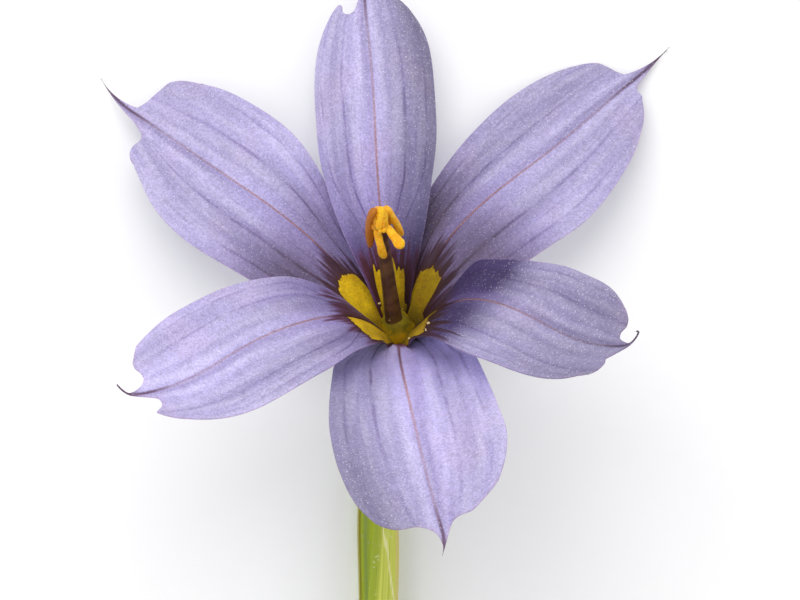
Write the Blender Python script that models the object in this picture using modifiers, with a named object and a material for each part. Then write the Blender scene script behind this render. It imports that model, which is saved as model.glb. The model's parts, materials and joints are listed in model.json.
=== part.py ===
"""A blue-eyed grass flower, picked with its stem and lying on a flat surface.

Units are metres, +Z is up, and the origin is on the surface under the middle of the flower and its stem.
The flower lies back on its stem and on the tips of its two upper outer tepals. Its axis leans from upright
toward +Y, and the stem lies along -Y. Six tepals stand in two whorls round a column of joined filaments.
"""

import math
from collections import namedtuple

import bmesh
import bpy
import numpy as np
from mathutils import Matrix, Vector

MM = 0.001
COLLECTION = "blue_eyed_grass_flower"

# The flower's place: the point where its tepals meet, and its axis.
FLOWER_BASE = Vector((0.3, 7.6, 2.92)) * MM
AXIS_TILT = math.radians(36)
ACROSS = Vector((1, 0, 0))
AXIS = Vector((0, math.sin(AXIS_TILT), math.cos(AXIS_TILT)))
BACK = Vector((0, math.cos(AXIS_TILT), -math.sin(AXIS_TILT)))

# Tepals. Each whorl starts at a distance from the axis and a height on it. The grid's columns crowd toward
# the midrib. The side edges end where the rounded crown begins, at a share of the half width, and the rows
# take the crown's shape late, by a power. The awn's foot flares by a power too.
TEPAL_THICKNESS = 0.6 * MM
TEPAL_COLUMNS, TEPAL_ROWS = 13, 17
COLUMN_CROWDING, ROW_CROWDING = 1.5, 0.8
CLAW_HALF_WIDTH = 0.5 * MM
INNER_START = (0.95 * MM, 0.15 * MM)
OUTER_START = (1.3 * MM, -0.6 * MM)
LEAN_STATIONS = (0, 0.3, 0.65, 1)
CUP_FULL_AT, LEAST_CUP = 0.35, 0.01
CROWN_SHARE, CROWN_ONSET = 0.62, 5
NOTCH_WIDTH = 0.7 * MM
AWN_HALF_WIDTH, AWN_FLARE = 0.5 * MM, 1.5

# A tepal's own values, with its first side at the lower azimuth: azimuth, the midrib's lean from the axis at
# the stations, sweep and twist at the tip, and each side's cup, in degrees; the blade's length; the awn past
# it; where it is widest and how far each shoulder reaches, as shares of that length; each side's half width;
# how square the shoulders are; how early it fills out; and the notch at the awn's foot.
Tepal = namedtuple(
    "Tepal",
    "name inner azimuth lean sweep twist cup blade awn widest reach half_width shoulder fullness notch",
)
TEPALS = (
    Tepal("tepal_inner_top", True, 99, (22, 49, 76, 92), -8, -9, (-50, -52), 14.4 * MM, 1.6 * MM,
          0.63, (0.97, 0.94), (2.6 * MM, 2.6 * MM), 2.0, 1.1, 0.85 * MM),
    Tepal("tepal_outer_upper_right", False, 50, (38, 69, 82, 76), -19, 5, (5, 11), 13.8 * MM, 1.6 * MM,
          0.58, (0.98, 0.99), (3.4 * MM, 2.7 * MM), 1.9, 0.9, 0.5 * MM),
    Tepal("tepal_inner_right", True, -39, (15, 37, 78, 35), -5, 6, (11, 21), 14.1 * MM, 1.3 * MM,
          0.66, (1.02, 1.0), (2.7 * MM, 2.5 * MM), 2.3, 0.9, 0.5 * MM),
    Tepal("tepal_outer_bottom", False, -87, (38, 45, 77, 94), 12, 6, (13, 23), 15.0 * MM, 1.4 * MM,
          0.7, (1.01, 1.0), (3.3 * MM, 3.35 * MM), 2.6, 0.75, 0.15 * MM),
    Tepal("tepal_inner_left", True, 221, (19, 50, 84, 43), -1, -8, (20, 10), 14.8 * MM, 1.4 * MM,
          0.65, (0.99, 1.02), (2.6 * MM, 2.75 * MM), 2.4, 0.9, 0.6 * MM),
    Tepal("tepal_outer_upper_left", False, 145, (38, 67, 87, 102), -10, -8, (12, 4), 14.1 * MM, 1.9 * MM,
          0.6, (0.98, 0.89), (3.1 * MM, 3.2 * MM), 2.2, 1.2, 0.8 * MM),
)

# The column of joined filaments, as height on the axis and radius. It leans a little to the left.
COLUMN_LEAN = -0.08
COLUMN_PROFILE = ((0, 0.48), (0.8, 0.4), (2.2, 0.31), (4.5, 0.25), (5.9, 0.2))

# Three anthers of two sacs each hang round the column's top from a cap.
SAC_COUNT = 6
SAC_FIRST_ANGLE = 20
SAC_RADIUS = 0.21 * MM
SAC_HALF_LENGTH = 0.95 * MM
SAC_TOP = (0.34 * MM, 7.15 * MM)
SAC_SPLAY = 13
CAP_HEIGHT = 7.1 * MM
CAP_RADIUS = 0.44 * MM

# Ovary and flower stalk: one curve from under the tepals, turning to lie along the stem.
STALK_TURN_RADIUS = 2.6 * MM
OVARY_TOP = -0.5 * MM
OVARY_PROFILE = ((0, 0.5), (0.15, 0.85), (0.45, 0.9), (0.75, 0.62), (0.95, 0.34))
STALK_RADIUS = 0.23 * MM

# Stem and spathe. Their middle line lies a little to the left of the flower.
STEM_X = FLOWER_BASE.x - 0.75 * MM
NODE_Y = FLOWER_BASE.y - 19.6 * MM
STEM_LENGTH = 10.7 * MM
STALK_HEIGHT = 1.2 * MM
STEM_WIDTH, STEM_DEPTH, WING_THICKNESS = 1.6 * MM, 0.8 * MM, 0.3 * MM
STEM_BODY_SHARE, WING_ROOT_ANGLE = 0.62, 25
NODE_SWELLING, NODE_SHARE = 1.5, 0.3
SEAT_GAP = 0.3 * MM
BRACT_THICKNESS = 0.6 * MM
BRACT_COLUMNS, BRACT_ROWS = 5, 13
BRACT_TAPER, BRACT_TIP_SHARE = 3, 0.18

# A bract's own values: how far it lies to the right of the stem, its height at the node and at its tip, its
# half width, its length, and how far its edges bend toward the stalk, in degrees.
Bract = namedtuple("Bract", "name offset start_height end_height half_width length curl")
BRACTS = (
    Bract("outer_bract", -0.05 * MM, 0.4 * MM, 0.5 * MM, 0.68 * MM, 15.6 * MM, 35),
    Bract("inner_bract", 0.28 * MM, 1.95 * MM, 2.15 * MM, 0.5 * MM, 14.2 * MM, -30),
)


def clear_scene():
    for obj in list(bpy.data.objects):
        bpy.data.objects.remove(obj, do_unlink=True)
    collection = bpy.data.collections.new(COLLECTION)
    bpy.context.scene.collection.children.link(collection)
    return collection


def make_material(name, color, roughness):
    material = bpy.data.materials.new(name)
    material.use_nodes = True
    shader = material.node_tree.nodes["Principled BSDF"]
    shader.inputs["Base Color"].default_value = (*color, 1)
    shader.inputs["Roughness"].default_value = roughness
    shader.inputs["Metallic"].default_value = 0
    return material


def add_object(name, data, collection, material):
    data.materials.append(material)
    obj = bpy.data.objects.new(name, data)
    collection.objects.link(obj)
    return obj


def flower_point(radius, azimuth, height):
    """The point at this distance from the flower's axis, angle round it and height on it."""
    outward = math.cos(azimuth) * ACROSS + math.sin(azimuth) * BACK
    return FLOWER_BASE + radius * outward + height * AXIS


def side_half_width(tepal, side, along):
    """Half width of one side at this distance along the blade, without the crown."""
    widest = tepal.widest * tepal.blade
    full = tepal.half_width[side]
    if along < widest:
        rise = math.sin(math.pi / 2 * along / widest) ** tepal.fullness
        return CLAW_HALF_WIDTH + (full - CLAW_HALF_WIDTH) * rise
    fall = (along - widest) / (tepal.reach[side] * tepal.blade - widest)
    return full * (1 - fall**tepal.shoulder) ** (1 / tepal.shoulder)


def crown_along(tepal, side, share):
    """How far the blade's rounded end reaches at this share of the half width."""
    widest = tepal.widest * tepal.blade
    rest = (1 - share**tepal.shoulder) ** (1 / tepal.shoulder)
    return widest + (tepal.reach[side] * tepal.blade - widest) * rest


def flat_point(tepal, u, v):
    """Distance along the midrib and across it, for u from -1 to 1 and v from the claw to the crown."""
    side = 0 if u < 0 else 1
    side_end = crown_along(tepal, side, CROWN_SHARE)
    along = v * side_end
    across = u * side_half_width(tepal, side, along)
    share = abs(u) * CROWN_SHARE
    edge = share * tepal.half_width[side]
    crown = crown_along(tepal, side, share)
    crown -= tepal.notch * math.exp(-((edge / NOTCH_WIDTH) ** 2))
    crown += (tepal.awn + tepal.notch) * max(0, 1 - edge / AWN_HALF_WIDTH) ** AWN_FLARE
    return along + v**CROWN_ONSET * (crown - side_end), across


def tepal_frame(tepal, along):
    """Directions along the midrib, across the blade and up from its face, at this distance."""
    share = min(max(along / (tepal.blade + tepal.awn), 0), 1)
    azimuth = math.radians(tepal.azimuth)
    lean = math.radians(np.interp(share, LEAN_STATIONS, tepal.lean))
    sweep = math.radians(tepal.sweep) * share**2
    twist = math.radians(tepal.twist) * share
    outward = math.cos(azimuth) * ACROSS + math.sin(azimuth) * BACK
    around = math.cos(azimuth) * BACK - math.sin(azimuth) * ACROSS
    forward = math.sin(lean) * outward + math.cos(lean) * AXIS
    up = math.sin(lean) * AXIS - math.cos(lean) * outward
    tangent = math.cos(sweep) * forward + math.sin(sweep) * around
    side = math.cos(sweep) * around - math.sin(sweep) * forward
    return tangent, math.cos(twist) * side + math.sin(twist) * up, math.cos(twist) * up - math.sin(twist) * side


def midrib_points(tepal, steps=120):
    """The midrib as distances and points, summed from its direction."""
    start = INNER_START if tepal.inner else OUTER_START
    length = tepal.blade + tepal.awn
    points = [flower_point(start[0], math.radians(tepal.azimuth), start[1])]
    for i in range(steps):
        tangent = tepal_frame(tepal, (i + 0.5) * length / steps)[0]
        points.append(points[-1] + tangent * length / steps)
    return np.linspace(0, length, steps + 1), np.array(points)


def tepal_point(tepal, midrib, along, across):
    distances, points = midrib
    centre = Vector([np.interp(along, distances, points[:, axis]) for axis in range(3)])
    _, side, up = tepal_frame(tepal, along)
    which = 0 if across < 0 else 1
    grown = min(along / (CUP_FULL_AT * (tepal.blade + tepal.awn)), 1)
    bend = math.radians(tepal.cup[which]) * max(grown, LEAST_CUP) / tepal.half_width[which]
    turned = bend * abs(across)
    return centre + math.copysign(math.sin(turned) / bend, across) * side + (1 - math.cos(turned)) / bend * up


def grid_mesh(name, columns, rows, place):
    """A grid whose corners are placed by a function of u from -1 to 1 and v from 0 to 1, in triangles."""
    bm = bmesh.new()
    bmesh.ops.create_grid(bm, x_segments=columns - 1, y_segments=rows - 1, size=1)
    for vertex in bm.verts:
        vertex.co = place(vertex.co.x, (vertex.co.y + 1) / 2)
    bmesh.ops.triangulate(bm, faces=bm.faces)
    mesh = bpy.data.meshes.new(name)
    bm.to_mesh(mesh)
    bm.free()
    return mesh


def thicken(obj, thickness):
    """A wall of this thickness, half to each side of the surface."""
    solidify = obj.modifiers.new("Thickness", "SOLIDIFY")
    solidify.thickness = thickness
    solidify.offset = 0
    obj.data.shade_smooth()
    obj.data.set_sharp_from_angle(angle=math.radians(50))


def make_tepal(tepal, collection, material):
    midrib = midrib_points(tepal)

    def place(x, y):
        u = math.copysign(abs(x) ** COLUMN_CROWDING, x)
        along, across = flat_point(tepal, u, y**ROW_CROWDING)
        return tepal_point(tepal, midrib, along, across)

    mesh = grid_mesh(tepal.name, TEPAL_COLUMNS, TEPAL_ROWS, place)
    obj = add_object(tepal.name, mesh, collection, material)
    thicken(obj, TEPAL_THICKNESS)
    return obj


def make_tube(name, points, radii, collection, material, profile=None):
    """A curve through these points with this radius at each, round unless a profile is given."""
    curve = bpy.data.curves.new(name, "CURVE")
    curve.dimensions = "3D"
    curve.use_fill_caps = True
    if profile:
        curve.bevel_mode = "OBJECT"
        curve.bevel_object = profile
    else:
        curve.bevel_depth = 1
        curve.bevel_resolution = 2
    spline = curve.splines.new("POLY")
    spline.points.add(len(points) - 1)
    for spot, point, radius in zip(spline.points, points, radii):
        spot.co = (*point, 1)
        spot.radius = radius
    return add_object(name, curve, collection, material)


def column_point(height):
    return FLOWER_BASE + (AXIS + COLUMN_LEAN * ACROSS) * height


def make_column(collection, material):
    heights = [height * MM for height, _ in COLUMN_PROFILE]
    radii = [radius * MM for _, radius in COLUMN_PROFILE]
    fine = np.linspace(heights[0], heights[-1], 9)
    points = [column_point(height) for height in fine]
    return make_tube("filament_column", points, np.interp(fine, heights, radii), collection, material)


def add_ball(name, matrix, collection, segments=10, rings=8):
    bm = bmesh.new()
    bmesh.ops.create_uvsphere(bm, u_segments=segments, v_segments=rings, radius=1, matrix=matrix)
    mesh = bpy.data.meshes.new(name)
    bm.to_mesh(mesh)
    bm.free()
    obj = bpy.data.objects.new(name, mesh)
    collection.objects.link(obj)
    return obj


def sac_matrix(number):
    """Place of one pollen sac: a long ball hung from the cap, its lower end away from the column."""
    azimuth = math.radians(SAC_FIRST_ANGLE + number * 360 / SAC_COUNT)
    outward = math.cos(azimuth) * ACROSS + math.sin(azimuth) * BACK
    splay = math.radians(SAC_SPLAY)
    down = math.sin(splay) * outward - math.cos(splay) * AXIS
    radius, height = SAC_TOP
    outward_top = radius * (math.cos(azimuth) * ACROSS + math.sin(azimuth) * BACK)
    centre = column_point(height) + outward_top + SAC_HALF_LENGTH * down
    turn = down.to_track_quat("Z", "Y").to_matrix().to_4x4()
    size = Matrix.Diagonal((SAC_RADIUS, SAC_RADIUS, SAC_HALF_LENGTH, 1))
    return Matrix.Translation(centre) @ turn @ size


def make_anthers(collection, material):
    """The cap and its sacs, joined as one body by a union."""
    pieces = bpy.data.collections.new("anther_pieces")
    bpy.context.scene.collection.children.link(pieces)
    for number in range(SAC_COUNT):
        add_ball(f"sac_{number}", sac_matrix(number), pieces)
    cap = add_ball("anthers", Matrix.Translation(column_point(CAP_HEIGHT)) @ Matrix.Scale(CAP_RADIUS, 4), collection)
    cap.data.materials.append(material)
    union = cap.modifiers.new("Union", "BOOLEAN")
    union.operation = "UNION"
    union.operand_type = "COLLECTION"
    union.collection = pieces
    union.solver = "EXACT"
    bpy.context.view_layer.update()
    graph = bpy.context.evaluated_depsgraph_get()
    joined = bpy.data.meshes.new_from_object(cap.evaluated_get(graph))
    cap.modifiers.clear()
    cap.data = joined
    for piece in list(pieces.objects):
        bpy.data.objects.remove(piece, do_unlink=True)
    bpy.data.collections.remove(pieces)
    return cap


def make_ovary_and_stalk(collection, material):
    """From under the tepals back along the axis, round a turn, then level along the stem to the node."""
    turn = math.pi / 2 - AXIS_TILT
    top = FLOWER_BASE + OVARY_TOP * AXIS
    centre = top - STALK_TURN_RADIUS * BACK
    points, radii = [], []
    for share in np.linspace(0, 1, 13):
        angle = share * turn
        points.append(centre + STALK_TURN_RADIUS * (math.cos(angle) * BACK - math.sin(angle) * AXIS))
        radii.append(np.interp(share, *zip(*OVARY_PROFILE)) * MM)
    start = points[-1]
    end = Vector((STEM_X, NODE_Y + SEAT_GAP, STALK_HEIGHT))
    for share in np.linspace(0, 1, 11)[1:]:
        ease = share * share * (3 - 2 * share)
        points.append(Vector((
            start.x + (end.x - start.x) * ease,
            start.y + (end.y - start.y) * share,
            start.z + (end.z - start.z) * ease,
        )))
        radii.append(STALK_RADIUS)
    return make_tube("ovary_and_stalk", points, radii, collection, material)


def stem_profile():
    """The stem's section: an oval with a narrow wing at each side."""
    curve = bpy.data.curves.new("stem_section", "CURVE")
    curve.dimensions = "2D"
    body = STEM_BODY_SHARE * STEM_WIDTH / 2
    wing = WING_THICKNESS / 2
    outline = []
    for angle in np.radians(np.linspace(180 - WING_ROOT_ANGLE, WING_ROOT_ANGLE, 7)):
        outline.append((body * math.cos(angle), STEM_DEPTH / 2 * math.sin(angle)))
    outline.append((STEM_WIDTH / 2, wing))
    outline += [(-x, -y) for x, y in outline]
    spline = curve.splines.new("POLY")
    spline.points.add(len(outline) - 1)
    for spot, (x, y) in zip(spline.points, outline):
        spot.co = (x, y, 0, 1)
    spline.use_cyclic_u = True
    section = bpy.data.objects.new("stem_section", curve)
    section.hide_render = True
    section.display_type = "WIRE"
    return section


def make_stem(collection, helpers, material):
    """The stem from the node, where it swells, down to its cut end on the surface."""
    section = stem_profile()
    helpers.objects.link(section)
    end_height = STEM_DEPTH / 2
    points, radii = [], []
    for share in np.linspace(0, 1, 9):
        drop = share * share * (3 - 2 * share)
        height = STALK_HEIGHT + (end_height - STALK_HEIGHT) * drop
        points.append(Vector((STEM_X, NODE_Y - STEM_LENGTH * share, height)))
        radii.append(1 + (NODE_SWELLING - 1) * max(0, 1 - share / NODE_SHARE))
    return make_tube("stem", points, radii, collection, material, section)


def make_bract(bract, collection, material):
    """A narrow blade that runs from the node to its pointed tip, with both edges bent toward the stalk."""

    def place(x, v):
        half = bract.half_width * max(BRACT_TIP_SHARE, 1 - v**BRACT_TAPER)
        bend = math.radians(bract.curl) / bract.half_width
        turned = bend * abs(x) * half
        across = math.copysign(math.sin(turned) / bend, x) if x else 0
        height = bract.start_height + (bract.end_height - bract.start_height) * v
        y = NODE_Y + 2 * SEAT_GAP + v * bract.length
        return Vector((STEM_X + bract.offset + across, y, height + (1 - math.cos(turned)) / bend))

    mesh = grid_mesh(bract.name, BRACT_COLUMNS, BRACT_ROWS, place)
    obj = add_object(bract.name, mesh, collection, material)
    thicken(obj, BRACT_THICKNESS)
    return obj


def main():
    collection = clear_scene()
    helpers = bpy.data.collections.new("helpers")
    bpy.context.scene.collection.children.link(helpers)
    tepal_outer = make_material("tepal_outer", (0.42, 0.40, 0.76), 0.55)
    tepal_inner = make_material("tepal_inner", (0.38, 0.36, 0.72), 0.55)
    anther = make_material("anther_orange", (0.86, 0.38, 0.02), 0.6)
    column = make_material("column_brown", (0.09, 0.03, 0.02), 0.5)
    stalk = make_material("ovary_green", (0.22, 0.3, 0.08), 0.5)
    green = make_material("stem_green", (0.26, 0.36, 0.05), 0.5)
    bract = make_material("bract_green", (0.32, 0.4, 0.08), 0.5)
    for tepal in TEPALS:
        make_tepal(tepal, collection, tepal_inner if tepal.inner else tepal_outer)
    make_column(collection, column)
    make_anthers(collection, anther)
    make_ovary_and_stalk(collection, stalk)
    make_stem(collection, helpers, green)
    for one in BRACTS:
        make_bract(one, collection, bract)


main()
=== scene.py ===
"""The looks of a blue-eyed grass flower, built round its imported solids: thin veined tepals with a yellow
eye, the column and its anthers, the ovary, the stem and its bracts, and a plain pale stage.

Sizes in this file are in millimetres unless they say otherwise, and meshes are written in metres.
"""

import json
import math
from collections import namedtuple

import bpy
import numpy as np
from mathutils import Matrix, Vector

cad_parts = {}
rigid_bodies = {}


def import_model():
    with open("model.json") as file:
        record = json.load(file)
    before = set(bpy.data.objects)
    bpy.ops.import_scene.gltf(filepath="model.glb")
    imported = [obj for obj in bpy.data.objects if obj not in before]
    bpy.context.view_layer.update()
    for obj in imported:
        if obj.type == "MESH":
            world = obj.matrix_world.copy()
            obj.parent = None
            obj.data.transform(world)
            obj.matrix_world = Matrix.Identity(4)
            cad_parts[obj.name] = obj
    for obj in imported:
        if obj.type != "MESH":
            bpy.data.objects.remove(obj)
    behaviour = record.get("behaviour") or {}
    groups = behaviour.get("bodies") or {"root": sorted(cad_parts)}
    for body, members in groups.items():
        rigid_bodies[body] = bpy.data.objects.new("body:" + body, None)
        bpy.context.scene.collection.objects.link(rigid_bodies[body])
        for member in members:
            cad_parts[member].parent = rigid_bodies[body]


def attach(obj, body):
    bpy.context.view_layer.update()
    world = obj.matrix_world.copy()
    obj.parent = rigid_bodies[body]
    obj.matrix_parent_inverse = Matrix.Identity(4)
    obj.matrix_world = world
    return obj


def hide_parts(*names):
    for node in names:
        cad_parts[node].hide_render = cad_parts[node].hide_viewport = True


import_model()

bl_info = {
    "name": "Blue-Eyed Grass Flower",
    "version": (1, 0, 0),
    "blender": (4, 5, 0),
    "location": "View3D > Sidebar > Flower",
    "description": "Builds a blue-eyed grass flower round its packed solids",
    "category": "Add Mesh",
}

MM = 0.001

# The flower's place: the point where its tepals meet, and its axis.
FLOWER_BASE = np.array([0.3, 7.6, 2.92])
AXIS_TILT = math.radians(36)
ACROSS = np.array([1.0, 0.0, 0.0])
AXIS = np.array([0.0, math.sin(AXIS_TILT), math.cos(AXIS_TILT)])
BACK = np.array([0.0, math.cos(AXIS_TILT), -math.sin(AXIS_TILT)])

# Tepals. The midrib's lean from the axis is given at these shares of the length, and the half widths of each
# side at every other millimetre. Past the corner the grid takes the shape of the crown, late, by a power.
LEAN_STATIONS = (0, 0.14, 0.3, 0.65, 1)
WIDTH_STEP = 2
RIB_STATIONS = (0, 5, 10)
ROW_SPREAD = 0.9
CUP_FULL_AT = 0.35
CLAW_CURL_ENDS = (3.2, 0.4)
LEAST_CURL = 1e-5
CROWN_ONSET = 5
AWN_SHARE = 0.28
AWN_TAPER = 2.2
INNER_START = (0.5, 0.0)
OUTER_START = (0.62, -0.15)
MARGIN_WIDTH = 0.5
RIPPLE_HEIGHT = 0.02
WAVE_HEIGHT = 0.05
CREASE_DEPTH = 0.05
CREASE_WIDTH = 0.16
MIDRIB_POINTS = 161
MARGIN_POINTS = 160

# A tepal's azimuth, leans, sweep, twist, curls and bend are in degrees, and the bend has its length as well.
# Where a field has two sides, the clockwise one is first. A crown runs from the corner to the awn's root.
#   eye: length, centre, half width, roundness, slope and painted shade of the yellow lobe
#   prongs: place, width and height of each of its teeth
#   stain: how far it reaches clockwise, counter-clockwise and past the lobe's end, and its depth;
#     where the upper right and right tepals meet it is partly painted shade
#   dark violet and painted shade: clockwise side, other side, middle, and how far out the middle's reaches
#   painted light and shade: overall, clockwise side, other side, tip and foot
#   veins: the span of the near and of the far ones
Tepal = namedtuple(
    "Tepal",
    "name inner azimuth leans sweep twist curls claw_curls length corner tip bend rib widths crowns"
    " eye prongs stain dusk tones veins",
)
TEPALS = (
    Tepal(
        "tepal_inner_top", True, 99.1, (25, 38.3, 48.5, 75.3, 91.6), -9.1, -11.1, (-17.4, -19.8), (0, 0),
        16.42, 12.7, 15.6, (5, 1.5), (0.15, -0.07, 0.05),
        ((0.5, 1.0, 1.65, 2.27, 2.68, 2.81, 2.46, 1.3), (0.5, 1.1, 1.82, 2.48, 2.72, 2.78, 2.18, 1.0)),
        (
            ((13.23, 1.74), (13.57, 1.38), (13.82, 0.97), (13.86, 0.57), (13.78, 0.3)),
            ((13.1, 1.55), (13.4, 1.3), (13.55, 1.05), (13.47, 0.97), (13.2, 0.95), (12.98, 0.7),
             (13.05, 0.48), (13.3, 0.33)),
        ),
        (2.25, 0, 0.6, 0.2, 0, 0.95),
        ((0.56, 0.08, 0.35), (-0.23, 0.09, 0.5), (0.4, 0.06, 0.12), (-0.42, 0.06, 0.12)),
        (1.0, 1.0, 1.1, 0.9), (0.05, 0.15, 0.85, 5.4), (1.12, 0.4, 0.9, 0.98, 1.0), (0.45, 0.8),
    ),
    Tepal(
        "tepal_outer_upper_right", False, 50.4, (31, 54, 81.7, 81, 74.4), -19.6, 4.9, (0.3, 3.9), (0, 0),
        16.18, 12.6, 16.1, (12, 2.0), (0.25, -0.2, 0.05),
        ((0.5, 1.6, 2.6, 3.13, 3.42, 3.22, 2.55, 1.2), (0.5, 1.2, 2.0, 2.42, 2.65, 2.63, 2.22, 1.3)),
        (
            ((13.26, 1.71), (13.5, 1.45), (13.72, 1.1), (13.9, 0.8), (13.88, 0.57), (14.02, 0.35)),
            ((13.18, 1.65), (13.45, 1.41), (13.6, 1.1), (13.75, 0.7), (13.92, 0.36)),
        ),
        (2.48, -0.17, 0.48, 1.2, -0.2, 0.54), ((-0.08, 0.06, 0.14),),
        (0.85, 0.7, 1.05, 0.42), (0.1, 0.3, 0.65, 7.2), (0.98, 0.94, 0.86, 0.95, 1.0), (0.45, 0.8),
    ),
    Tepal(
        "tepal_inner_right", True, -37.7, (29.4, 26, 38.4, 78.1, 27.8), -8.4, 6.8, (6.9, 11.9), (-30, 0),
        15.92, 13.0, 16.47, (200, 1.22), (0.2, -0.08, -0.05),
        ((0.65, 1.28, 1.85, 2.4, 2.82, 2.88, 2.5, 1.65), (0.6, 1.7, 2.3, 2.1, 2.19, 2.44, 2.34, 1.3)),
        (
            ((13.8, 1.72), (14.42, 1.6), (14.68, 1.38), (14.62, 0.95), (14.4, 0.72), (14.65, 0.56)),
            ((13.6, 1.5), (13.98, 1.15), (14.08, 0.88), (13.95, 0.66), (14.07, 0.43), (14.4, 0.26)),
        ),
        (2.35, -0.9, 1.08, 0, -1.15, 0.75), ((0.08, 0.09, 0.75),),
        (0.7, 2.1, 1.75, 0.45), (0.4, 0.95, 0.9, 9.0), (0.8, 0.97, 0.97, 0.75, 1.0), (0.56, 0.86),
    ),
    Tepal(
        "tepal_outer_bottom", False, -87.1, (41, 47, 52.2, 75, 94.9), 13.2, 7.4, (3.6, 6.9), (18, 44),
        16.61, 14.0, 16.4, (-30, 1.1), (-0.05, 0.0, 0.0),
        (
            (1.1, 1.9, 2.6, 2.85, 3.1, 3.29, 3.19, 2.62, 0.9),
            (1.35, 2.15, 2.75, 2.93, 3.1, 3.29, 3.34, 2.56, 0.7),
        ),
        (
            ((14.45, 2.32), (14.72, 1.96), (14.85, 1.64), (14.88, 1.3), (14.9, 0.88), (15.08, 0.53),
             (15.25, 0.33)),
            ((14.35, 2.15), (14.6, 1.76), (14.86, 1.33), (14.93, 0.7), (15.05, 0.5), (15.3, 0.31)),
        ),
        (0.35, 0, 0.9, 0, 0, 1.0), (),
        (0.15, 0.2, 0.25, 0.9), (0, 0, 0, 8.0), (1.29, 0.47, 0.86, 0.87, 1.22), (0.46, 0.82),
    ),
    Tepal(
        "tepal_inner_left", True, 221.7, (27.8, 31.4, 52, 83.6, 39), -2.7, -8.3, (8.8, 4.2), (0, -30),
        16.72, 14.2, 16.95, (-95, 0.8), (0.0, 0.0, 0.42),
        (
            (0.5, 1.3, 1.76, 2.22, 2.45, 2.56, 2.53, 1.92, 0.8),
            (0.5, 1.2, 1.75, 2.18, 2.6, 2.78, 2.54, 2.08, 1.3),
        ),
        (
            ((14.6, 1.42), (14.85, 1.1), (14.87, 0.9), (14.72, 0.7), (14.72, 0.46), (14.95, 0.22)),
            ((14.88, 1.77), (15.35, 1.52), (15.55, 1.38), (15.35, 1.25), (15.03, 1.09), (14.78, 0.83),
             (14.78, 0.62)),
        ),
        (4.05, 0.76, 0.74, 0.15, 0, 0.97), (),
        (1.5, 0.4, 0.8, 0.85), (0.22, 0.2, 0.15, 8.0), (1.04, 0.92, 0.82, 1.22, 1.0), (0.6, 0.86),
    ),
    Tepal(
        "tepal_outer_upper_left", False, 143.6, (37.8, 64.1, 70.5, 85.1, 97.5), -9.3, -10.1, (4.2, -0.1),
        (0, 0), 17.09, 12.2, 16.1, (-24, 2.4), (-0.24, 0.1, 0.33),
        ((0.5, 1.0, 1.65, 2.58, 3.12, 3.05, 2.55, 1.3), (0.5, 1.5, 2.5, 3.0, 3.28, 3.02, 2.06, 0.9)),
        (
            ((12.8, 2.2), (13.2, 1.95), (13.45, 1.65), (13.5, 1.3), (13.55, 0.8), (13.6, 0.3), (13.7, 0.0)),
            ((12.35, 1.88), (12.52, 1.65), (12.58, 1.42), (12.55, 1.05), (12.65, 0.85), (12.95, 0.7),
             (13.35, 0.57)),
        ),
        (2.68, 0.27, 0.57, 1.3, 0, 0.92), (),
        (0.5, 0.75, 1.0, 0.5), (0.02, 0.38, 0.45, 7.2), (1.04, 0.98, 1.0, 0.95, 1.0), (0.45, 0.8),
    ),
)


# Shapes


def smooth(knots, values, where):
    """Values at these places on a smooth line through the knots."""
    knots = np.array(knots, float)
    values = np.array(values, float)
    slopes = np.gradient(values, knots, axis=0)
    left = np.clip(np.searchsorted(knots, where, side="right") - 1, 0, len(knots) - 2)
    gap = knots[left + 1] - knots[left]
    t = np.clip((where - knots[left]) / gap, 0, 1)
    if values.ndim == 2:
        gap, t = gap[:, None], t[:, None]
    start = values[left] * (1 + 2 * t) + slopes[left] * gap * t
    end = values[left + 1] * (3 - 2 * t) - slopes[left + 1] * gap * (1 - t)
    return start * (1 - t) ** 2 + end * t**2


def line_through(points, stations):
    """Points on a smooth line through these, at shares of its length."""
    points = np.array(points, float)
    steps = np.linalg.norm(np.diff(points, axis=0), axis=1)
    knots = np.concatenate([[0], np.cumsum(steps)])
    return smooth(knots, points, np.array(stations) * knots[-1])


def ease(t):
    return t * t * (3 - 2 * t)


def smooth_step(value, low, high):
    return ease(np.clip((value - low) / (high - low), 0, 1))


def hump(value, width):
    """1 at 0, falling away to both sides within about this width."""
    return np.exp(-((value / width) ** 2))


def unit(vectors):
    return vectors / np.linalg.norm(vectors, axis=1)[:, None]


def rib_offset(tepal, along):
    return smooth((*RIB_STATIONS, tepal.tip), (0, *tepal.rib), along)


def side_width(tepal, side, along):
    widths = tepal.widths[side]
    return smooth(np.arange(len(widths)) * WIDTH_STEP, widths, along)


def crown_point(tepal, side, share):
    """Where the crown stands at this share of the way from the awn's tip to the corner."""
    sign = (-1, 1)[side]
    corner = (tepal.corner, float(side_width(tepal, side, np.array([tepal.corner]))[0]))
    outline = (*tepal.crowns[side][::-1], corner)
    root_along, root_width = outline[0]
    root_rib = float(rib_offset(tepal, np.array([root_along]))[0])
    lobe = line_through(outline, np.clip((share - AWN_SHARE) / (1 - AWN_SHARE), 0, 1))
    up_awn = np.clip(1 - share / AWN_SHARE, 0, 1)
    awn_along = root_along + (tepal.tip - root_along) * up_awn
    awn_half = (sign * root_width - root_rib) * (1 - up_awn) ** AWN_TAPER
    on_awn = share < AWN_SHARE
    along = np.where(on_awn, awn_along, lobe[:, 0])
    across = np.where(on_awn, rib_offset(tepal, awn_along) + awn_half, sign * lobe[:, 1])
    return along, across


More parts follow.
